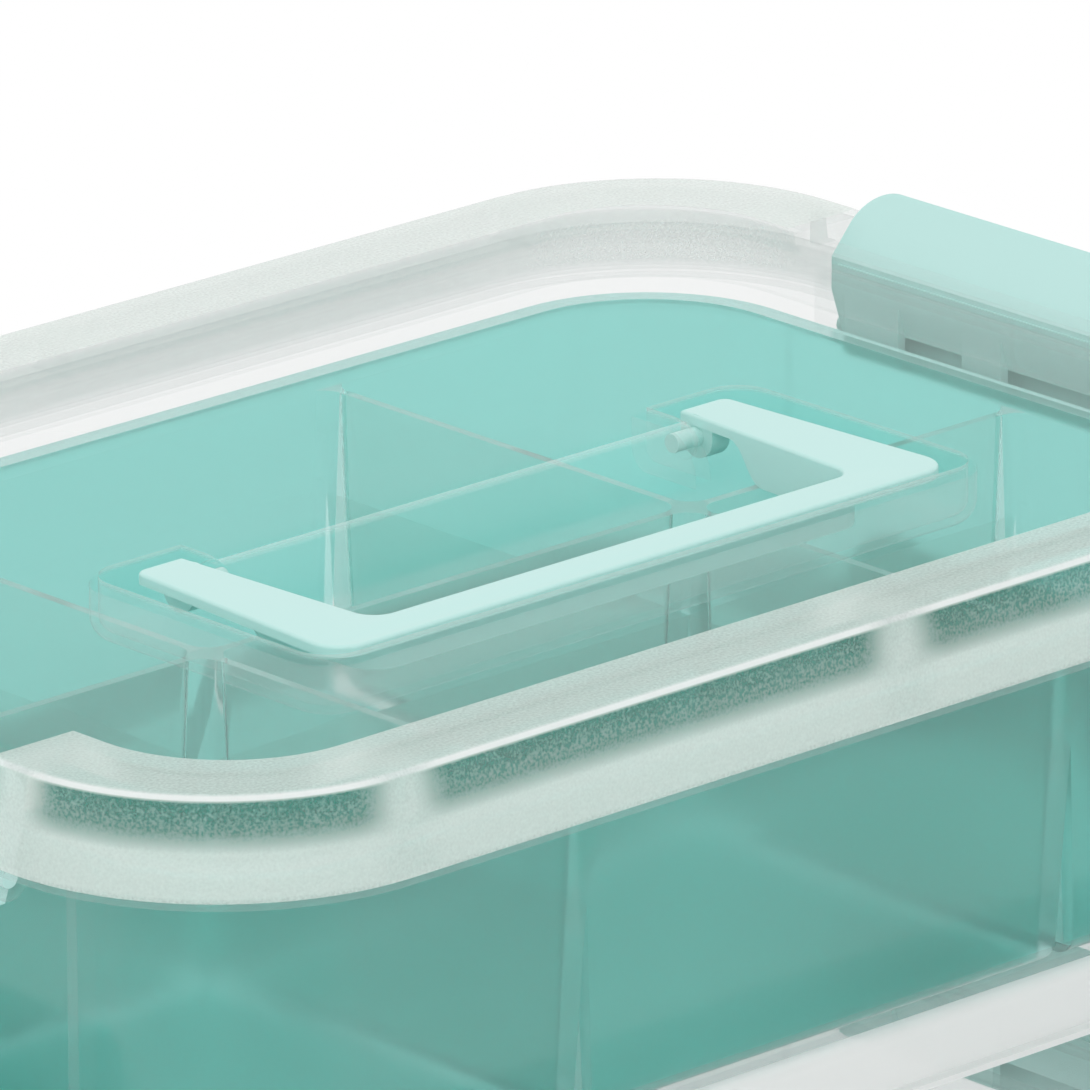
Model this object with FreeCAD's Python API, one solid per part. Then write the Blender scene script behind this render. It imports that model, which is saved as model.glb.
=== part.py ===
import FreeCAD, Part
import os

# Three clear boxes that nest in a stack under one lid with a folding handle.
# The top box holds a divided tray, and latches on both ends hold each layer to the next.
# Millimetres, +Z up, +X along the long side, -Y is the front. The origin is under the middle.

# Space inside the rim of a box, which everything else is set out from
cavity_length = 329.6
cavity_width = 227.6
cavity_corner = 37.0

# Moulded walls
wall = 1.8
wall_draft = 0.6
floor_fillet = 4.0

# Box heights
layer_pitch = 77.0
ledge_depth = 13.6
ledge_width = 3.0
foot_height = 3.3
seat_gap = 0.3

# Turned-down flange round the rim of a box
lid_clearance = 1.4
flange_fillet = 3.0
lip_gap = 0.4
lip_height = 1.3
lip_setback = 0.6

# Lid
side_overhang = 16.2
end_overhang = 19.2
side_band = 22.1
end_band = 24.2
rim_round = 2.5
rim_lean = 3.0
skirt_height = 20.2
lid_rise = 9.0
panel_drop = 4.35
plug_depth = 17.0
plug_clearance = 0.5
rib_thickness = 2.6
rib_spacing = 130.0
rib_from_notch = 8.0
end_rib_depth = 7.0
end_boss_width = 6.0
end_boss_depth = 11.8
end_boss_height = 1.6

# Latches, their hinges and what they snap over
latch_half_width = 66.0
latch_notch_gap = 1.5
latch_skin = 2.2
latch_top = 13.8
latch_crease = 0.7
latch_plate_foot = -6.5
latch_foot = -22.0
latch_lean = 11.6
latch_shoulder = -4.0
latch_corner = 9.0
latch_tab_foot = -19.0
latch_tab_spans = [(15.5, 27.0), (46.0, 62.0)]
keeper_reach = 5.2
keeper_end_gap = 0.4
keeper_drop = 3.5
snap_ridge = 1.2
snap_height = 0.3
snap_passing = 0.2
plate_gap = 1.0
hinge_drop = 16.0
hinge_from_plate = 6.2
hinge_pin_radius = 2.0
hinge_running_gap = 0.06
lug_gap = 0.6
lug_thickness = 2.4
lug_round = 4.5
pilaster_width = 8.0
pilaster_from_lug = 3.0
pilaster_depth = 2.4
pilaster_foot_gap = 2.0

# Handle: a thin plate with a skirt along its inner edge, on lugs that carry the pins
handle_gap = 0.25
grip_outer = -58.0
grip_width = 10.0
grip_half_length = 84.0
arm_back_outer = 80.4
arm_back_inner = 68.0
arm_front_inner = 65.0
handle_skin = 2.4
handle_depth = 10.6
handle_outer_corner = 7.0
handle_inner_corner = 5.0
handle_back_corner = 2.5
handle_edge_round = 0.8
skirt_curve_start = -10.0
skirt_curve_end = -21.0
pivot_end_round = 4.6
pivot_lug_thickness = 5.0
pivot_pin_radius = 2.0
pivot_running_gap = 0.06

# Pocket that the handle folds into, with webs beside the finger space for the pins
pocket_end_gap = 5.6
pocket_front_gap = 3.0
pocket_back_gap = 5.25
pocket_floor_gap = 0.3
pocket_corner = 8.0
pocket_foot_round = 3.0
shoulder_front = -9.0
web_gap = 4.6
web_thickness = 2.4
pivot_boss_radius = 4.0
pivot_boss_height = 1.2

# Divided tray that hangs on the ledge of the top box
tray_rim = 1.4
tray_rim_gap = 0.8
tray_body_gap = 1.0
tray_draft = 1.8
tray_floor_gap = 1.2
tray_wall = 1.5
tray_fillet = 4.0
divider_offset = 66.0
divider_top = 1.8
divider_foot = 9.0
divider_drop = 3.0
cell_corner = 6.0
groove_tip = 11.5

# How near an edge lies to a level to count as on it
same_place = 0.01


def outline(spread_x, spread_y):
    """Rounded rectangle that stands outside the rim space by these amounts."""
    return (cavity_length / 2 + spread_x, cavity_width / 2 + spread_y, cavity_corner + spread_y)


def grow(shape, amount):
    """The same rounded rectangle, larger all round."""
    return (shape[0] + amount, shape[1] + amount, shape[2] + amount)


def vector(x, y, z):
    return FreeCAD.Vector(x, y, z)


def rounded_wire(shape, z, centre_x=0.0, centre_y=0.0):
    half_x, half_y, radius = shape
    diagonal = radius * (1 - 0.5 ** 0.5)
    edges = []
    for turn, (long_half, short_half) in enumerate([(half_x, half_y), (half_y, half_x)] * 2):
        start = vector(long_half, -short_half + radius, z)
        end = vector(long_half, short_half - radius, z)
        middle = vector(long_half - diagonal, short_half - diagonal, z)
        after = vector(long_half - radius, short_half, z)
        side = [Part.LineSegment(start, end).toShape(), Part.Arc(end, middle, after).toShape()]
        for edge in side:
            edge.rotate(vector(0, 0, 0), vector(0, 0, 1), 90 * turn)
            edge.translate(vector(centre_x, centre_y, 0))
            edges.append(edge)
    return Part.Wire(Part.__sortEdges__(edges))


def prism(shape, low, high, centre_x=0.0, centre_y=0.0):
    face = Part.Face(rounded_wire(shape, low, centre_x, centre_y))
    return face.extrude(vector(0, 0, high - low))


def block(low, high):
    size = [top - bottom for bottom, top in zip(low, high)]
    return Part.makeBox(*size, vector(*low))


def rod(radius, start, end):
    along = vector(*end) - vector(*start)
    return Part.makeCylinder(radius, along.Length, vector(*start), along)


def profile_along_y(points, half_width):
    """Solid whose section is drawn in X and Z."""
    corners = [vector(x, -half_width, z) for x, z in points]
    face = Part.Face(Part.makePolygon(corners + corners[:1]))
    return face.extrude(vector(0, 2 * half_width, 0))


def tapered(low_shape, low, high_shape, high, centre_x=0.0, centre_y=0.0):
    """Rounded rectangle with leaning walls: a cone at each corner and two leaning blocks between."""
    corner_x = low_shape[0] - low_shape[2]
    corner_y = low_shape[1] - low_shape[2]
    blocks = []
    for axis, half_width in ((0, corner_y), (1, corner_x)):
        low_half = low_shape[axis]
        high_half = high_shape[axis]
        points = [(-low_half, low), (low_half, low), (high_half, high), (-high_half, high)]
        leaning = profile_along_y(points, half_width)
        leaning.rotate(vector(0, 0, 0), vector(0, 0, 1), 90 * axis)
        blocks.append(leaning)
    corners = []
    for x in (-corner_x, corner_x):
        for y in (-corner_y, corner_y):
            corners.append(Part.makeCone(low_shape[2], high_shape[2], high - low, vector(x, y, low)))
    solid = blocks[0].fuse(blocks[1:] + corners).removeSplitter()
    solid.translate(vector(centre_x, centre_y, 0))
    return solid


def rounded_edges(solid, radius, chosen):
    edges = [edge for edge in solid.Edges if chosen(edge)]
    return solid.makeFillet(radius, edges)


def edges_at_height(z):
    def at_height(edge):
        box = edge.BoundBox
        return abs(box.ZMin - z) < same_place and abs(box.ZMax - z) < same_place
    return at_height


def with_mirror_x(solid):
    return solid.fuse(solid.mirror(vector(0, 0, 0), vector(1, 0, 0)))


def with_mirror_y(solid):
    return solid.fuse(solid.mirror(vector(0, 0, 0), vector(0, 1, 0)))


# Outlines and levels that more than one piece takes its size from
cavity = outline(0, 0)
wall_outside = grow(cavity, wall)
store_top = grow(cavity, -ledge_width)
store_foot = grow(store_top, -wall_draft)
lid_outside = outline(end_overhang, side_overhang)
lid_inside = grow(lid_outside, -wall)
flange_outside = grow(lid_inside, -lid_clearance)
panel_edge = (lid_outside[0] - end_band, lid_outside[1] - side_band, lid_outside[2] - side_band)
plug_outside = grow(cavity, -plug_clearance)

box_height = layer_pitch + ledge_depth - seat_gap
floor_top = -box_height + foot_height + wall
flange_foot = lid_rise - skirt_height - lip_gap
lip_foot = flange_foot - lip_height
lower_rim = box_height
middle_rim = lower_rim + layer_pitch
upper_rim = middle_rim + layer_pitch
lid_top = upper_rim + lid_rise

# The pocket follows the handle, which turns about a line on the middle of the box to carry level
handle_top = -panel_drop - handle_gap
pivot_z = handle_top - pivot_end_round
pocket_half_length = grip_half_length + pocket_end_gap
pocket_front = grip_outer - pocket_front_gap
pocket_back = pivot_end_round + pocket_back_gap
pocket_floor = handle_gap + handle_depth + pocket_floor_gap
pocket_foot = -panel_drop - pocket_floor
web_outer = arm_back_inner - web_gap
web_inner = web_outer - web_thickness
boss_face = web_outer + pivot_boss_height

# The latch stands just outside the keeper, and turns on pins between two lugs
keeper_edge = cavity[0] + keeper_reach
keeper_top = lid_rise - panel_drop
plate_face = keeper_edge + plate_gap
hinge_x = plate_face + hinge_from_plate
lug_inside = latch_half_width + lug_gap
lug_outside = lug_inside + lug_thickness
keeper_half_width = lug_inside - keeper_end_gap
ridge_half_width = latch_half_width - latch_skin
notch_half = latch_half_width + latch_notch_gap


def leaning(shape, foot, low, high):
    """Solid with the lean of the lid's outer face, which has this outline at its foot."""
    slope = rim_lean / skirt_height
    return tapered(grow(shape, slope * (foot - low)), low, grow(shape, slope * (foot - high)), high)


def keeper(root_x):
    """Shelf with a turned-down edge that a latch snaps over, drawn from the rim below it."""
    under = keeper_top - wall
    inner = keeper_edge - wall
    ridge_top = snap_ridge - keeper_drop
    points = [(root_x, keeper_top), (keeper_edge, keeper_top), (keeper_edge, ridge_top)]
    points += [(keeper_edge + snap_height, ridge_top), (keeper_edge + snap_height, -keeper_drop)]
    points += [(inner, -keeper_drop), (inner, under), (root_x, under)]
    return profile_along_y(points, keeper_half_width)


def make_box(rim):
    """One layer: stepped walls, a raised floor, a flange, hinge lugs and keepers near its foot."""
    band = prism(wall_outside, -ledge_depth - wall, 0)
    body = tapered(grow(store_foot, wall), -box_height, grow(store_top, wall), -ledge_depth)
    store = tapered(store_foot, floor_top, store_top, -ledge_depth)
    store = rounded_edges(store, floor_fillet, edges_at_height(floor_top))
    mouth = prism(cavity, -ledge_depth, lid_rise)
    recess = prism(store_foot, -box_height - wall, floor_top - wall)

    flange = leaning(flange_outside, flange_foot, flange_foot, 0)
    flange = rounded_edges(flange, flange_fillet, edges_at_height(0))
    lip = prism(grow(lid_outside, -lip_setback), lip_foot, flange_foot)
    hollow = leaning(grow(flange_outside, -wall), flange_foot, lip_foot - wall, -wall)
    flange = flange.fuse(lip).cut(hollow)
    far = lid_outside[0] + wall
    for side in (-1, 1):
        ends = sorted([side * wall_outside[0], side * far])
        flange = flange.cut(block((ends[0], -lug_inside, lip_foot - wall), (ends[1], lug_inside, wall)))

    root = grow(store_top, wall)[0] - wall / 2
    lug = block((wall_outside[0] - wall / 2, lug_inside, -hinge_drop),
                (flange_outside[0] - rim_lean, lug_outside, -wall / 2))
    knuckle = rod(lug_round, (hinge_x, lug_inside, -hinge_drop), (hinge_x, lug_outside, -hinge_drop))
    bore = rod(hinge_pin_radius + hinge_running_gap, (hinge_x, lug_inside, -hinge_drop),
               (hinge_x, lug_outside, -hinge_drop))
    lug = lug.fuse(knuckle).cut(bore)
    pilaster_start = lug_outside + pilaster_from_lug
    pilaster = block((root - wall_draft, pilaster_start, pilaster_foot_gap - layer_pitch),
                     (root + wall / 2 + pilaster_depth, pilaster_start + pilaster_width, -ledge_depth))
    shelf = keeper(root - wall_draft)
    shelf.translate(vector(0, 0, -layer_pitch))

    shell = band.fuse([body, flange])
    shell = shell.fuse([with_mirror_x(with_mirror_y(lug.fuse(pilaster))), with_mirror_x(shelf)])
    shell = shell.cut([store, mouth, recess])
    shell = shell.removeSplitter()
    shell.translate(vector(0, 0, rim))
    return shell


def make_lid():
    """Frosted rim over a hollow channel, a clear sunk panel, and the pocket for the handle."""
    full_cap = leaning(lid_outside, -skirt_height, -skirt_height, 0)
    full_cap = rounded_edges(full_cap, rim_round, edges_at_height(0))
    cap = full_cap.cut(leaning(lid_inside, -skirt_height, -skirt_height - wall, -wall))
    pan = prism(grow(panel_edge, wall), -panel_drop - wall, -wall / 2)
    plug = prism(plug_outside, -plug_depth, -wall / 2)
    plug = plug.cut(prism(grow(plug_outside, -wall), -plug_depth - wall, 0))

    ribs = []
    rib_low = seat_gap - lid_rise
    half_rib = rib_thickness / 2
    for x in (-rib_spacing, 0, rib_spacing):
        low = (x - half_rib, plug_outside[1] - wall / 2, rib_low)
        ribs.append(with_mirror_y(block(low, (x + half_rib, lid_inside[1] + wall / 2, -wall / 2))))
    rib_y = notch_half + rib_from_notch
    low = (lid_inside[0] - end_rib_depth, rib_y - half_rib, rib_low)
    end_rib = block(low, (lid_inside[0] + wall / 2, rib_y + half_rib, -wall / 2))
    ribs.append(with_mirror_x(with_mirror_y(end_rib)))
    lid = cap.fuse([pan, plug] + [rib.common(full_cap) for rib in ribs])
    lid = lid.cut(prism(panel_edge, -panel_drop, wall))

    # Across each end the raised rim is cut away for the latch, down to the panel
    far = lid_outside[0] + wall
    for side in (-1, 1):
        ends = sorted([side * panel_edge[0], side * far])
        lid = lid.cut(block((ends[0], -notch_half, -panel_drop), (ends[1], notch_half, wall)))
        ends = sorted([side * (plug_outside[0] + wall / 2), side * far])
        lid = lid.cut(block((ends[0], -notch_half, -skirt_height - wall), (ends[1], notch_half, wall)))
    shelf = keeper(panel_edge[0] - wall)
    shelf.translate(vector(0, 0, -lid_rise))
    lid = lid.fuse([with_mirror_x(shelf), with_mirror_x(make_end_boss())])

    centre_y = (pocket_front + pocket_back) / 2
    inside = (pocket_half_length, (pocket_back - pocket_front) / 2, pocket_corner)
    tub = prism(grow(inside, wall), pocket_foot - wall, -panel_drop - wall / 2, 0, centre_y)
    tub = rounded_edges(tub, pocket_foot_round + wall, edges_at_height(pocket_foot - wall))
    hole = prism(inside, pocket_foot, wall, 0, centre_y)
    hole = rounded_edges(hole, pocket_foot_round, edges_at_height(pocket_foot))
    lid = lid.fuse(tub.cut(shoulder(web_inner, wall))).cut(hole.cut(shoulder(web_outer, 0)))

    # The webs that are left beside the shoulder take the handle's pins, in bores with a boss
    boss = rod(pivot_boss_radius, (web_outer - wall / 2, 0, pivot_z), (boss_face, 0, pivot_z))
    bore_radius = pivot_pin_radius + pivot_running_gap
    bore = rod(bore_radius, (web_inner - wall, 0, pivot_z), (boss_face, 0, pivot_z))
    lid = lid.fuse(with_mirror_x(boss)).cut(with_mirror_x(bore))
    lid = lid.removeSplitter()
    lid.translate(vector(0, 0, lid_top))
    return lid


def shoulder(half_length, inset):
    """Rounded step that leads the fingers down under the grip, this far inside its skin."""
    radius = pocket_floor - inset
    crest = shoulder_front + pocket_floor
    low = pocket_foot - 2 * wall
    curve = rod(radius, (-half_length, crest, pocket_foot), (half_length, crest, pocket_foot))
    behind = block((-half_length, crest, low), (half_length, pocket_back + 2 * wall, pocket_foot + radius))
    below = block((-half_length, crest - radius, low), (half_length, crest, pocket_foot))
    return curve.fuse([behind, below])


def make_end_boss():
    """Small round-ended pad in the middle of the plug's end wall."""
    face = plug_outside[0] - wall
    half = end_boss_width / 2
    foot = -panel_drop - end_boss_depth + half
    pad = block((face - end_boss_height, -half, foot), (face + wall / 2, half, -panel_drop - wall / 2))
    return pad.fuse(rod(half, (face - end_boss_height, 0, foot), (face + wall / 2, 0, foot)))


def make_handle():
    """U-shaped plate with a finger skirt along its inner edge, and a lug with a pin on each arm."""
    low = handle_top - handle_depth
    plate_foot = handle_top - handle_skin
    back = pivot_end_round
    grip_inner = grip_outer + grip_width

    def plan(points, bottom, top):
        corners = [vector(x, y, bottom) for x, y in points]
        return Part.Face(Part.makePolygon(corners + corners[:1])).extrude(vector(0, 0, top - bottom))

    def upright_at(y):
        def chosen(edge):
            box = edge.BoundBox
            return box.ZLength > same_place and box.YLength < same_place and abs(box.YMin - y) < same_place
        return chosen

    def inner_space(spread, bottom, top):
        front = grip_inner - spread
        points = [(-arm_back_inner - spread, back + wall), (arm_back_inner + spread, back + wall)]
        points += [(arm_front_inner + spread, front), (-arm_front_inner - spread, front)]
        return rounded_edges(plan(points, bottom, top), handle_inner_corner + spread, upright_at(front))

    points = [(-arm_back_outer, back), (arm_back_outer, back)]
    points += [(grip_half_length, grip_outer), (-grip_half_length, grip_outer)]
    outer = plan(points, low, handle_top)
    outer = rounded_edges(outer, handle_outer_corner, upright_at(grip_outer))
    outer = rounded_edges(outer, handle_back_corner, upright_at(back))
    plate_level = block((-grip_half_length, grip_outer, plate_foot), (grip_half_length, back, handle_top))
    plate = outer.common(plate_level)
    plate = plate.cut(inner_space(0, low, handle_top + wall))
    plate = rounded_edges(plate, handle_edge_round, edges_at_height(handle_top))

    # The skirt ends in a smooth S on each arm, short of the pivot
    run = skirt_curve_end - skirt_curve_start
    start = vector(-grip_half_length, skirt_curve_start, plate_foot)
    end = vector(-grip_half_length, skirt_curve_end, low)
    curve = Part.BezierCurve()
    curve.setPoles([start, start + vector(0, run / 2, 0), end - vector(0, run / 2, 0), end])
    top_level = plate_foot + handle_skin / 2
    corners = [end, vector(-grip_half_length, grip_outer, low)]
    corners += [vector(-grip_half_length, grip_outer, top_level)]
    corners += [vector(-grip_half_length, skirt_curve_start, top_level), start]
    side = Part.Wire([curve.toShape()] + Part.makePolygon(corners).Edges)
    skirt = inner_space(handle_skin, low, handle_top).cut(inner_space(0, low, handle_top))
    skirt = skirt.common(Part.Face(side).extrude(vector(2 * grip_half_length, 0, 0)))

    lug_end = arm_back_inner + pivot_lug_thickness
    lug = rod(pivot_end_round, (arm_back_inner, 0, pivot_z), (lug_end, 0, pivot_z))
    lug = lug.fuse(block((arm_back_inner, -pivot_end_round, pivot_z), (lug_end, back, plate_foot)))
    pin = rod(pivot_pin_radius, (web_inner, 0, pivot_z), (lug_end, 0, pivot_z))
    solid = plate.fuse([skirt, with_mirror_x(lug.fuse(pin))]).removeSplitter()
    solid.translate(vector(0, 0, lid_top))
    return solid


def make_latch(rim, side):
    """Hollow lever with a leaning finger face, a plate with tabs and a snap ridge, and two pins."""
    top_x = plate_face + latch_lean
    skin_x = top_x + latch_skin
    foot_x = hinge_x + latch_skin / 2
    outside = [(plate_face, latch_plate_foot), (plate_face, latch_crease), (top_x, latch_top)]
    outside += [(skin_x, latch_top - latch_skin / 2), (skin_x, latch_shoulder), (foot_x, latch_foot)]
    outside += [(foot_x - latch_skin, latch_foot)]
    lean = latch_lean / (latch_top - latch_crease)
    under = latch_top - 2 * latch_skin
    inside = [(plate_face + latch_skin, latch_foot - wall), (plate_face + latch_skin, latch_crease)]
    inside += [(plate_face + latch_skin + lean * (under - latch_crease), under)]
    inside += [(skin_x - latch_skin, under)]
    inside += [(skin_x - latch_skin, latch_shoulder), (foot_x - latch_skin, latch_foot - wall)]
    solid = profile_along_y(outside, latch_half_width)
    solid = solid.cut(profile_along_y(inside, latch_half_width - latch_skin))

    # The finger edge is rounded off at both ends
    def finger_corner(edge):
        box = edge.BoundBox
        at_end = box.YLength < same_place and abs(abs(box.YMin) - latch_half_width) < same_place
        return at_end and box.ZMin > latch_top - latch_skin
    solid = rounded_edges(solid, latch_corner, finger_corner)
    reach = keeper_edge + snap_height + snap_passing
    ridge = block((reach, -ridge_half_width, latch_crease - 2 * snap_ridge),
                  (plate_face + latch_skin / 2, ridge_half_width, latch_crease - snap_ridge))
    tabs = []
    plate_back = plate_face + latch_skin
    for start, end in latch_tab_spans:
        tab = block((plate_face, start, latch_tab_foot), (plate_back, end, latch_crease))
        tabs.append(with_mirror_y(tab))
    pin = rod(hinge_pin_radius, (hinge_x, latch_half_width - latch_skin, -hinge_drop),
              (hinge_x, lug_outside - lug_gap / 2, -hinge_drop))
    solid = solid.fuse([ridge, with_mirror_y(pin)] + tabs).removeSplitter()
    if side < 0:
        solid = solid.mirror(vector(0, 0, 0), vector(1, 0, 0))
    solid.translate(vector(0, 0, rim))
    return solid


def make_tray():
    """Six tapered cells under one rim, with the walls between them open from below."""
    rim_low = seat_gap - ledge_depth
    rim_top = rim_low + tray_rim
    rim_outside = grow(cavity, -tray_rim_gap)
    body_top = grow(store_top, -tray_body_gap)
    body_foot = grow(body_top, -tray_draft)
    foot = floor_top + tray_floor_gap
    body = tapered(body_foot, foot, body_top, rim_low)
    body = rounded_edges(body, tray_fillet + tray_wall, edges_at_height(foot))
    tray = body.fuse(prism(rim_outside, rim_low, rim_top))

    room_foot = foot + tray_wall
    room = tapered(grow(body_foot, -tray_wall), room_foot, grow(body_top, -tray_wall), rim_top + wall)
    divider_height = rim_top - divider_drop
    column_edges = [-body_top[0], -divider_offset, divider_offset, body_top[0]]
    row_edges = [-body_top[1], 0, body_top[1]]
    cells = []
    for left, right in zip(column_edges[:-1], column_edges[1:]):
        for front, back in zip(row_edges[:-1], row_edges[1:]):
            half = ((right - left) / 2, (back - front) / 2, cell_corner)
            middle = ((left + right) / 2, (front + back) / 2)
            cell_foot = grow(half, -divider_foot / 2)
            cell_top = grow(half, -divider_top / 2)
            cell = tapered(cell_foot, room_foot, cell_top, rim_top, *middle)
            cells.append(cell.common(room))
    above = prism(grow(body_top, -tray_wall), divider_height, rim_top + wall)
    tray = tray.cut(cells + [above])

    # The wall between two cells is as thick as the tray's own wall, so it opens below like a V
    groove_half = divider_foot / 2 - tray_wall
    side_run = (divider_height - foot) / (divider_foot - divider_top) * 2
    apex = foot + side_run * groove_half - groove_tip
    long_groove = Part.makePolygon([vector(-body_top[0], -groove_half, foot - wall),
                                    vector(-body_top[0], groove_half, foot - wall),
                                    vector(-body_top[0], 0, apex),
                                    vector(-body_top[0], -groove_half, foot - wall)])
    grooves = [Part.Face(long_groove).extrude(vector(2 * body_top[0], 0, 0))]
    for x in (-divider_offset, divider_offset):
        points = [(x - groove_half, foot - wall), (x + groove_half, foot - wall), (x, apex)]
        grooves.append(profile_along_y(points, body_top[1]))
    tray = tray.cut(grooves).removeSplitter()
    tray.translate(vector(0, 0, upper_rim))
    return tray


pieces = {"lid": make_lid(), "carry_handle": make_handle(), "divided_tray": make_tray()}
for layer, rim in (("lower", lower_rim), ("middle", middle_rim), ("upper", upper_rim)):
    pieces[layer + "_box"] = make_box(rim)
    for hand, side in (("left", -1), ("right", 1)):
        pieces[layer + "_latch_" + hand] = make_latch(rim, side)

os.makedirs("parts", exist_ok=True)
for name, solid in pieces.items():
    solid.exportStep("parts/" + name + ".step")
    print(name, len(solid.Solids), solid.isValid(), round(solid.Volume))
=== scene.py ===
import math

import bpy
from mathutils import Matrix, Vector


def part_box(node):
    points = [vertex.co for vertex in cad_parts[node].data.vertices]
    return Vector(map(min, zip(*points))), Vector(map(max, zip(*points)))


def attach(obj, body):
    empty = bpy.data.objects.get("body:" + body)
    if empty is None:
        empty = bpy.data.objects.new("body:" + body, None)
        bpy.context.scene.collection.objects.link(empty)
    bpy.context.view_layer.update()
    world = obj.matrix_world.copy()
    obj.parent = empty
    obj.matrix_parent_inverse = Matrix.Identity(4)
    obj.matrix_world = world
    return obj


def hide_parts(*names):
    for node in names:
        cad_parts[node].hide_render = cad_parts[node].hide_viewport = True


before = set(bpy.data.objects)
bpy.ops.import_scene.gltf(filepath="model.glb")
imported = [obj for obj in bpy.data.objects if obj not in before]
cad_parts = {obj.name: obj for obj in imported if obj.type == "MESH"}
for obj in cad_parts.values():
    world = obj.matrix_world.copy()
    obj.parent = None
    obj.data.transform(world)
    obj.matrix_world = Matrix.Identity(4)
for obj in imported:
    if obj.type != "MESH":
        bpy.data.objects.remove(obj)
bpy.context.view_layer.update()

# Three clear boxes that nest in a stack, each one polypropylene moulding.
# The walls are polished, and on the two lower boxes the turned-down flange round the rim is frosted.
# The top box's flange stays clear, under the frosted rim of the lid.
box_wall_half = (0.1666, 0.1156)
box_wall_corner = 0.0388
flange_depth = 0.0234
flange_start = 0.0003
merge_gap = 0.00001
flat_angle = math.radians(0.6)
crease_angle = math.radians(28)


def linear(red, green, blue):
    """A colour as a screen shows it, 0 to 255, turned into the light that it stands for."""
    shares = [value / 255 for value in (red, green, blue)]
    return [s / 12.92 if s <= 0.04045 else ((s + 0.055) / 1.055) ** 2.4 for s in shares] + [1.0]


def moulding_from(node, name):
    """A copy of a solid's mesh, joined up, with its curves shaded smooth."""
    bpy.ops.object.select_all(action="DESELECT")
    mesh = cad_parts[node].data.copy()
    mesh.materials.clear()
    piece = bpy.data.objects.new(name, mesh)
    bpy.context.scene.collection.objects.link(piece)
    bpy.context.view_layer.objects.active = piece
    piece.select_set(True)
    bpy.ops.mesh.customdata_custom_splitnormals_clear()
    bpy.ops.object.mode_set(mode="EDIT")
    bpy.ops.mesh.select_all(action="SELECT")
    bpy.ops.mesh.remove_doubles(threshold=merge_gap)
    bpy.ops.mesh.dissolve_limited(angle_limit=flat_angle)
    bpy.ops.object.mode_set(mode="OBJECT")
    bpy.ops.object.shade_smooth_by_angle(angle=crease_angle)
    return piece


def outside(piece, face, half, corner):
    """How far all of a face stands outside a rounded rectangle about the middle of the box."""
    nearest = 1.0
    for index in face.vertices:
        point = piece.data.vertices[index].co
        reach_x = abs(point.x) - half[0] + corner
        reach_y = abs(point.y) - half[1] + corner
        round_corner = math.hypot(max(reach_x, 0), max(reach_y, 0))
        nearest = min(nearest, round_corner + min(max(reach_x, reach_y), 0) - corner)
    return nearest


def feed(tree, value, socket):
    """Gives a socket a number or a colour, or links it to the output of another node."""
    if isinstance(value, bpy.types.NodeSocket):
        tree.links.new(value, socket)
    else:
        socket.default_value = value


def maths(tree, operation, *values):
    """The output of one sum in a node tree. Each value is a number or an output."""
    node = tree.nodes.new("ShaderNodeMath")
    node.operation = operation
    for value, socket in zip(values, node.inputs):
        feed(tree, value, socket)
    return node.outputs[0]


def mapped(tree, value, before, after=(0.0, 1.0), curve="LINEAR"):
    """A value carried from one span to another, and held at the ends."""
    node = tree.nodes.new("ShaderNodeMapRange")
    node.interpolation_type = curve
    for name, number in zip(("From Min", "From Max", "To Min", "To Max"), before + after):
        node.inputs[name].default_value = number
    tree.links.new(value, node.inputs["Value"])
    return node.outputs["Result"]


def noise(tree, scale):
    """A noise of this scale in the object's own coordinates."""
    place = tree.nodes.new("ShaderNodeTexCoord")
    node = tree.nodes.new("ShaderNodeTexNoise")
    tree.links.new(place.outputs["Object"], node.inputs["Vector"])
    feed(tree, scale, node.inputs["Scale"])
    return node.outputs["Fac"]


def surface_group():
    """Slow ripple and fine grain of a moulded face, and roughness that varies a little with them."""
    group = bpy.data.node_groups.new("moulded_face", "ShaderNodeTree")
    for name, start in (("Roughness", 0.1), ("Roughness Spread", 0.02), ("Ripple Scale", 30.0),
                        ("Ripple Height", 0.0), ("Grain Scale", 2000.0), ("Grain Height", 0.0)):
        socket = group.interface.new_socket(name=name, in_out="INPUT", socket_type="NodeSocketFloat")
        socket.default_value = start
    group.interface.new_socket(name="Roughness", in_out="OUTPUT", socket_type="NodeSocketFloat")
    group.interface.new_socket(name="Normal", in_out="OUTPUT", socket_type="NodeSocketVector")
    given = group.nodes.new("NodeGroupInput").outputs
    result = group.nodes.new("NodeGroupOutput").inputs
    ripple = noise(group, given["Ripple Scale"])
    grain = noise(group, given["Grain Scale"])
    swell = maths(group, "MULTIPLY", ripple, given["Ripple Height"])
    height = maths(group, "MULTIPLY_ADD", grain, given["Grain Height"], swell)
    bump = group.nodes.new("ShaderNodeBump")
    bump.inputs["Distance"].default_value = 1.0
    group.links.new(height, bump.inputs["Height"])
    group.links.new(bump.outputs["Normal"], result["Normal"])
    rough = maths(group, "MULTIPLY_ADD", ripple, given["Roughness Spread"], given["Roughness"])
    group.links.new(rough, result["Roughness"])
    return group


moulded_face = surface_group()


def plastic(name, colour, clearness, face):
    """Moulded plastic: how much light goes through it, and the values of its face."""
    material = bpy.data.materials.new(name)
    material.use_nodes = True
    tree = material.node_tree
    shader = tree.nodes["Principled BSDF"]
    shader.inputs["Base Color"].default_value = colour
    shader.inputs["Transmission Weight"].default_value = clearness
    shader.inputs["IOR"].default_value = 1.49
    group = tree.nodes.new("ShaderNodeGroup")
    group.node_tree = moulded_face
    for socket, value in face.items():
        group.inputs[socket].default_value = value
    for socket in ("Roughness", "Normal"):
        tree.links.new(group.outputs[socket], shader.inputs[socket])
    return material


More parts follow.
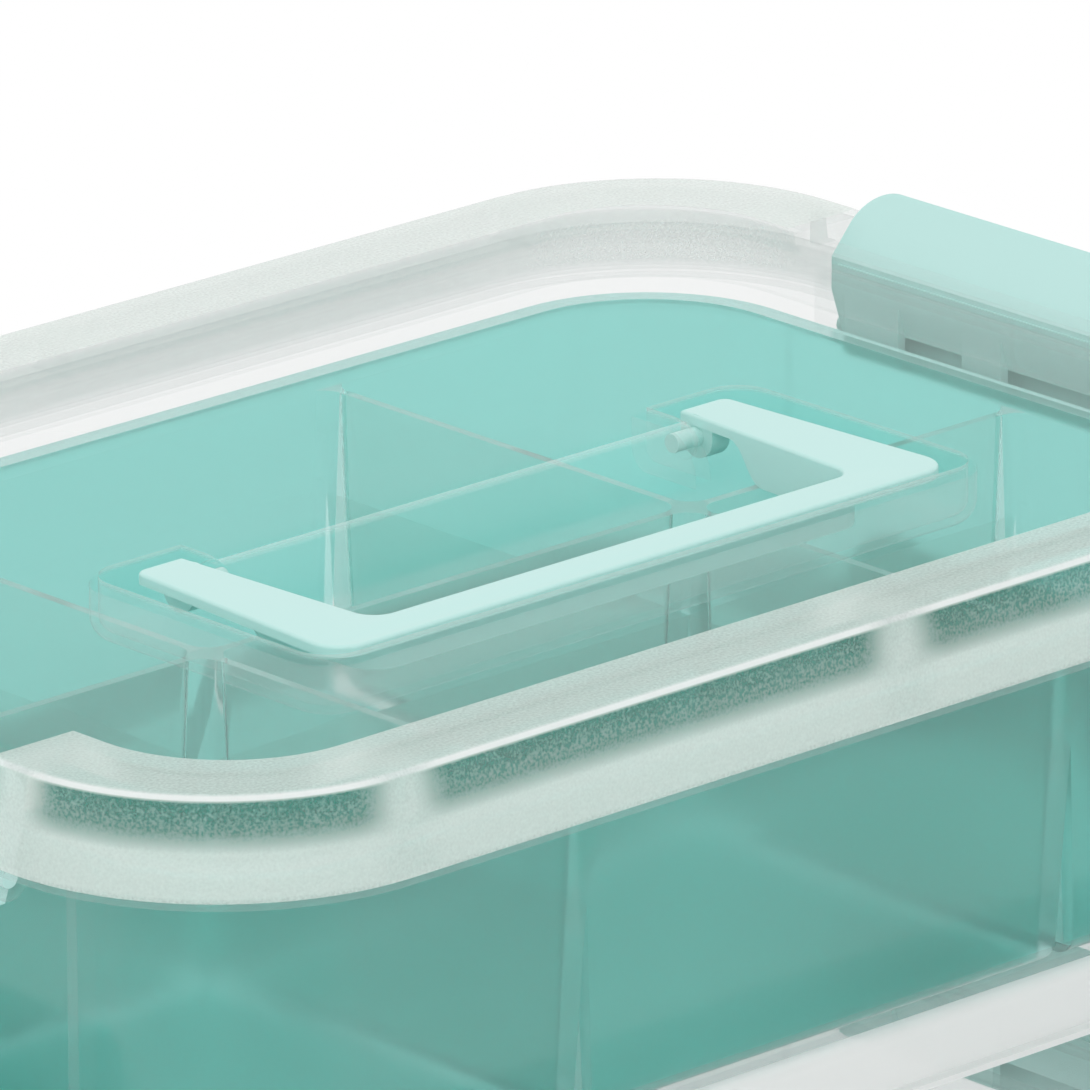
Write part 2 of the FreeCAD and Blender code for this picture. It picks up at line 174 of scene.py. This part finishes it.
def see_through(material, square_on, along, power=3.0):
    """Thin clear plastic shows least where it is looked through squarely, and most along its walls."""
    tree = material.node_tree
    facing = tree.nodes.new("ShaderNodeLayerWeight").outputs["Facing"]
    steep = maths(tree, "POWER", facing, power)
    cover = mapped(tree, steep, (0.0, 1.0), (square_on, along))
    tree.links.new(cover, tree.nodes["Principled BSDF"].inputs["Alpha"])
    return cover


polished = {"Roughness": 0.1, "Roughness Spread": 0.05, "Ripple Height": 0.00004}
frosted = {"Roughness": 0.4, "Roughness Spread": 0.08, "Grain Height": 0.00001}
clear_wall = plastic("clear_wall", linear(206, 214, 212), 0.0, polished)
see_through(clear_wall, square_on=0.04, along=0.4)
frosted_flange = plastic("frosted_flange", linear(247, 249, 248), 0.2, frosted)
see_through(frosted_flange, square_on=0.75, along=0.9)
for layer in ("lower", "middle", "upper"):
    node = layer + "_box"
    box = moulding_from(node, layer + "_clear_box")
    box.data.materials.append(clear_wall)
    box.data.materials.append(frosted_flange)
    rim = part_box(node)[1].z
    for face in box.data.polygons:
        on_flange = outside(box, face, box_wall_half, box_wall_corner) > flange_start
        if layer != "upper" and on_flange and face.center.z > rim - flange_depth:
            face.material_index = 1
    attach(box, node)
    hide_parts(node)

# The tray hangs on the ledge of the top box. It is one tinted, see-through polypropylene moulding,
# with six tapered cells whose dividing walls open below like a V.
tray_face = {"Roughness": 0.1, "Roughness Spread": 0.06, "Ripple Height": 0.00003}
teal_wall = plastic("teal_wall", linear(145, 229, 221), 0.9, {**tray_face, "Roughness": 0.26})
teal_divider = plastic("teal_divider", linear(241, 250, 248), 0.95, tray_face)
for tinted in (teal_wall, teal_divider):
    tinted_inputs = tinted.node_tree.nodes["Principled BSDF"].inputs
    tinted_inputs["IOR"].default_value = 1.12
    tinted_inputs["Coat Weight"].default_value = 0.8
    tinted_inputs["Coat Roughness"].default_value = 0.12
tray = moulding_from("divided_tray", "teal_divided_tray")
tray.data.materials.append(teal_wall)
tray.data.materials.append(teal_divider)
cell_half = (0.1545, 0.1035)
divider_x = 0.066
divider_reach = 0.0052
divider_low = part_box("divided_tray")[0].z + 0.004
for face in tray.data.polygons:
    reach_x = abs(face.center.x)
    reach_y = abs(face.center.y)
    inside = reach_x < cell_half[0] and reach_y < cell_half[1]
    near_divider = abs(reach_x - divider_x) < divider_reach or reach_y < divider_reach
    if inside and near_divider and face.center.z > divider_low:
        face.material_index = 1
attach(tray, "divided_tray")
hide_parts("divided_tray")

# The lid is one clear moulding: a polished panel with a sunk pocket for the handle,
# and round it a frosted rim over a hollow channel with ribs.
# The pocket's walls show where they turn away, and a pale band painted along their lip stands for its
# highlight.
lid_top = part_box("lid")[1].z
panel_half = (0.1598, 0.1079)
panel_corner = 0.0311
panel_top = lid_top - 0.00435
panel_face = {"Roughness": 0.08, "Roughness Spread": 0.05, "Ripple Height": 0.00003}
clear_panel = plastic("clear_panel", linear(208, 217, 214), 0.0, panel_face)
see_through(clear_panel, square_on=0.02, along=0.25)


def object_axes(tree):
    """The outputs X, Y and Z of the object's own coordinates."""
    place = tree.nodes.new("ShaderNodeTexCoord")
    axes = tree.nodes.new("ShaderNodeSeparateXYZ")
    tree.links.new(place.outputs["Object"], axes.inputs[0])
    return axes.outputs


lip_highlight_depth = 0.0016
lip_highlight_cover = 0.6
pocket_wall = plastic("pocket_wall", linear(222, 242, 238), 0.0, {**panel_face, "Roughness": 0.1})
pocket_side = see_through(pocket_wall, square_on=0.07, along=0.85, power=6.0)
pocket_tree = pocket_wall.node_tree
pocket_height = object_axes(pocket_tree)["Z"]
# A painted highlight: the pale wall is made more opaque along the top of the pocket's walls.
painted_lip_highlight = mapped(pocket_tree, pocket_height, (panel_top - lip_highlight_depth, panel_top), (0.0, lip_highlight_cover))
pocket_cover = maths(pocket_tree, "MAXIMUM", pocket_side, painted_lip_highlight)
pocket_tree.links.new(pocket_cover, pocket_tree.nodes["Principled BSDF"].inputs["Alpha"])

skirt_height = 0.0202
rib_places = {"X": (0.0, 0.130), "Y": (0.0755,)}
rib_shadow = (0.001, 0.012)
rib_cover = 0.72
cover_stops = [(0.0, 0.5), (0.05, 0.8), (0.46, 0.8), (0.66, 0.62), (0.93, 0.62), (0.955, 0.95),
               (0.985, 0.95), (1.0, 0.62)]
# Where the rim's outer face gets painted shade: a dark band over the channel that stands for its shadow.
painted_shade_stops = [(0.46, 0.0), (0.66, 0.85), (0.93, 1.0), (0.955, 0.0)]
# Where the rim's rounded edge gets a painted highlight.
painted_highlight_stops = [(0.945, 0.0), (0.96, 1.0), (0.985, 1.0), (0.998, 0.0)]


def mixed(tree, share, first, second, kind):
    """Two colours or two numbers mixed, with this share of the second."""
    node = tree.nodes.new("ShaderNodeMix")
    node.data_type = kind
    for name, value in (("Factor", share), ("A", first), ("B", second)):
        feed(tree, value, node.inputs[name])
    return node.outputs["Result"]


def read_off(tree, value, stops):
    """A value read off a line through stops, each a place and the level there."""
    node = tree.nodes.new("ShaderNodeValToRGB")
    line = node.color_ramp
    while len(line.elements) < len(stops):
        line.elements.new(0.5)
    for element, (place, level) in zip(line.elements, stops):
        element.position = place
        element.color = (level, level, level, 1.0)
    tree.links.new(value, node.inputs["Fac"])
    return node.outputs["Color"]


def frost_and_painted_light_bands():
    """How much the frosted rim hides: most on its edge, much on its skirt, and least on its flat top and over
    the channel.
    Also where painted shade darkens it over the channel and a painted highlight lightens its edge. Beside a
    rib it is paler, with less painted shade. All of it has a fine grain."""
    group = bpy.data.node_groups.new("frost_and_painted_light_bands", "ShaderNodeTree")
    axes = object_axes(group)
    nearest = 1.0
    for axis, places in rib_places.items():
        across = maths(group, "ABSOLUTE", axes[axis])
        for rib in places:
            gap = maths(group, "ABSOLUTE", maths(group, "SUBTRACT", across, rib))
            nearest = maths(group, "MINIMUM", nearest, gap)
    bay = mapped(group, nearest, rib_shadow, curve="SMOOTHSTEP")
    height = mapped(group, axes["Z"], (lid_top - skirt_height, lid_top))
    grain = noise(group, 1500.0)
    plain = mixed(group, bay, rib_cover, read_off(group, height, cover_stops), "FLOAT")
    speck = maths(group, "MULTIPLY", maths(group, "SUBTRACT", grain, 0.5), 1.2)
    room = maths(group, "SUBTRACT", 1.0, plain)
    painted_shade = maths(group, "MULTIPLY", read_off(group, height, painted_shade_stops), bay)
    results = {"Cover": maths(group, "MULTIPLY_ADD", speck, room, plain),
               "Shade": maths(group, "MULTIPLY", painted_shade, maths(group, "MULTIPLY_ADD", grain, 1.2, 0.4)),
               "Painted Highlight": read_off(group, height, painted_highlight_stops)}
    for name in results:
        group.interface.new_socket(name=name, in_out="OUTPUT", socket_type="NodeSocketFloat")
    put_out = group.nodes.new("NodeGroupOutput")
    for name, value in results.items():
        group.links.new(value, put_out.inputs[name])
    return group


# The rim's outer face is painted dark teal over the channel for the shade there, and near white on its edge
# for a highlight.
rim_colour = linear(228, 239, 233)
# Near white painted on the rim's edge, standing for its highlight.
painted_edge_highlight_colour = linear(253, 254, 253)
# Dark teal painted over the channel, standing for the shade inside it.
painted_channel_shade_colour = linear(30, 110, 92)
inside_cover = 0.35
frosted_rim = plastic("frosted_rim", rim_colour, 0.2, frosted)
rim_tree = frosted_rim.node_tree
rim_inputs = rim_tree.nodes["Principled BSDF"].inputs
rim_bands = rim_tree.nodes.new("ShaderNodeGroup")
rim_bands.node_tree = frost_and_painted_light_bands()
backfacing = rim_tree.nodes.new("ShaderNodeNewGeometry").outputs["Backfacing"]
from_outside = maths(rim_tree, "SUBTRACT", 1.0, backfacing)
# The painted shade goes only on the outside of the rim.
rim_shade = maths(rim_tree, "MULTIPLY", rim_bands.outputs["Shade"], from_outside)
# First the painted highlight on the edge, then the painted shade over the channel.
rim_with_painted_highlight = mixed(rim_tree, rim_bands.outputs["Painted Highlight"], rim_colour, painted_edge_highlight_colour, "RGBA")
rim_painted_light_colour = mixed(rim_tree, rim_shade, rim_with_painted_highlight, painted_channel_shade_colour, "RGBA")
rim_tree.links.new(rim_painted_light_colour, rim_inputs["Base Color"])
rim_veil = maths(rim_tree, "MULTIPLY_ADD", from_outside, 1.0 - inside_cover, inside_cover)
rim_cover = maths(rim_tree, "MULTIPLY", rim_bands.outputs["Cover"], rim_veil)
rim_tree.links.new(rim_cover, rim_inputs["Alpha"])
frosted_inside = plastic("frosted_inside", linear(226, 230, 229), 0.3, frosted)
see_through(frosted_inside, square_on=0.14, along=0.3)
lid = moulding_from("lid", "clear_lid_with_frosted_rim")
for material in (clear_panel, frosted_rim, pocket_wall, frosted_inside):
    lid.data.materials.append(material)
rim_height = 0.0048
rim_margin = 0.0003
pocket_reach = (0.094, 0.068)
notch_half = 0.0676
level_normal = 0.98
for face in lid.data.polygons:
    reach_x = abs(face.center.x)
    reach_y = abs(face.center.y)
    over_panel = face.center.z > lid_top - rim_height
    in_band = outside(lid, face, panel_half, panel_corner) > -rim_margin
    if reach_x > panel_half[0] and reach_y < notch_half:
        continue
    if (in_band and over_panel) or outside(lid, face, box_wall_half, box_wall_corner) > 0:
        outward = face.normal.x * face.center.x + face.normal.y * face.center.y
        turned_in = outward < -0.01 or face.normal.z < -0.5
        face.material_index = 3 if turned_in else 1
    elif reach_x < pocket_reach[0] and reach_y < pocket_reach[1]:
        if not over_panel and abs(face.normal.z) <= level_normal:
            face.material_index = 2
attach(lid, "lid")
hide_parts("lid")

# The carry handle folds flat into the lid's pocket. It is an opaque satin moulding, hollow below,
# and turns on two pins that are moulded on.
satin = {"Roughness": 0.36, "Roughness Spread": 0.1, "Grain Scale": 3000.0, "Grain Height": 0.000004}
mint = plastic("mint_satin", linear(200, 239, 234), 0.0, satin)
handle = moulding_from("carry_handle", "mint_carry_handle")
handle.data.materials.append(mint)
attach(handle, "carry_handle")
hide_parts("carry_handle")

# Six latches, one on each end of each layer, hold it to the layer above.
# They are mouldings of the handle's plastic that turn on pins between two lugs.
for layer in ("lower", "middle", "upper"):
    for hand in ("left", "right"):
        node = layer + "_latch_" + hand
        latch = moulding_from(node, "mint_" + node)
        latch.data.materials.append(mint)
        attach(latch, node)
        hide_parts(node)

# The studio: a pale floor, soft light from all round and a large soft lamp at the front left.
# Seen directly, mirrored or through the plastic, the surroundings are plain white,
# and the floor near the box keeps part of its own shade.
floor_radius = 12.0
floor_gap = 0.0005
bpy.ops.object.select_all(action="DESELECT")
bpy.ops.mesh.primitive_circle_add(vertices=96, radius=floor_radius, fill_type="NGON",
                                  location=(0, 0, -floor_gap))
floor = bpy.context.object
floor.name = "studio_floor"


def seen_as_white(tree):
    """One for rays that show the surroundings themselves, and nought for light that falls on things."""
    path = tree.nodes.new("ShaderNodeLightPath")
    total = path.outputs["Is Camera Ray"]
    for ray in ("Is Glossy Ray", "Is Transmission Ray"):
        total = maths(tree, "ADD", total, path.outputs[ray])
        total.node.use_clamp = True
    return total


def mixed_shader(tree, share, first, second, output):
    """Two shaders mixed, with this share of the second, as what a surface or the world puts out."""
    node = tree.nodes.new("ShaderNodeMixShader")
    for value, socket in zip((share, first, second), node.inputs):
        tree.links.new(value, socket)
    tree.links.new(node.outputs["Shader"], tree.nodes[output].inputs["Surface"])


shadow_reach = (0.3, 0.8)
white_near = 0.45
floor_paint = bpy.data.materials.new("pale_floor")
floor_paint.use_nodes = True
floor_tree = floor_paint.node_tree
floor_shader = floor_tree.nodes["Principled BSDF"]
floor_shader.inputs["Base Color"].default_value = (0.9, 0.9, 0.9, 1.0)
floor_shader.inputs["Roughness"].default_value = 0.9
floor_glow = floor_tree.nodes.new("ShaderNodeEmission")
floor_place = floor_tree.nodes.new("ShaderNodeTexCoord")
distance = floor_tree.nodes.new("ShaderNodeVectorMath")
distance.operation = "LENGTH"
floor_tree.links.new(floor_place.outputs["Object"], distance.inputs[0])
far = mapped(floor_tree, distance.outputs["Value"], shadow_reach, (white_near, 1.0))
white_share = maths(floor_tree, "MULTIPLY", far, seen_as_white(floor_tree))
mixed_shader(floor_tree, white_share, floor_shader.outputs["BSDF"], floor_glow.outputs["Emission"],
             "Material Output")
floor.data.materials.append(floor_paint)

world = bpy.data.worlds.new("studio")
bpy.context.scene.world = world
world.use_nodes = True
world_tree = world.node_tree
soft_light = world_tree.nodes["Background"]
soft_light.inputs["Strength"].default_value = 0.9
white = world_tree.nodes.new("ShaderNodeBackground")
for background in (soft_light, white):
    background.inputs["Color"].default_value = (1.0, 1.0, 1.0, 1.0)
mixed_shader(world_tree, seen_as_white(world_tree), soft_light.outputs["Background"],
             white.outputs["Background"], "World Output")

bpy.ops.object.light_add(type="AREA", location=(-1.3, -1.1, 1.2))
lamp = bpy.context.object
lamp.data.shape = "RECTANGLE"
lamp.data.size = 1.2
lamp.data.size_y = 1.2
lamp.data.energy = 4.5
lamp.rotation_euler = (-lamp.location).to_track_quat("-Z", "Y").to_euler()

# The camera stands where the photographer stood, with a long lens
bpy.ops.object.camera_add(location=(-1.7793, -1.9169, 1.1208),
                          rotation=(math.radians(71.32), 0, math.radians(-43.28)))
camera = bpy.context.object
camera.data.sensor_width = 36.0
camera.data.lens = 456.6
camera.data.clip_end = 100.0
bpy.context.scene.camera = camera
bpy.context.scene.view_settings.view_transform = "Standard"

# Light passes through many nested walls, so it may turn that many times
bpy.context.scene.cycles.max_bounces = 14
bpy.context.scene.cycles.transmission_bounces = 12
bpy.context.scene.cycles.transparent_max_bounces = 32
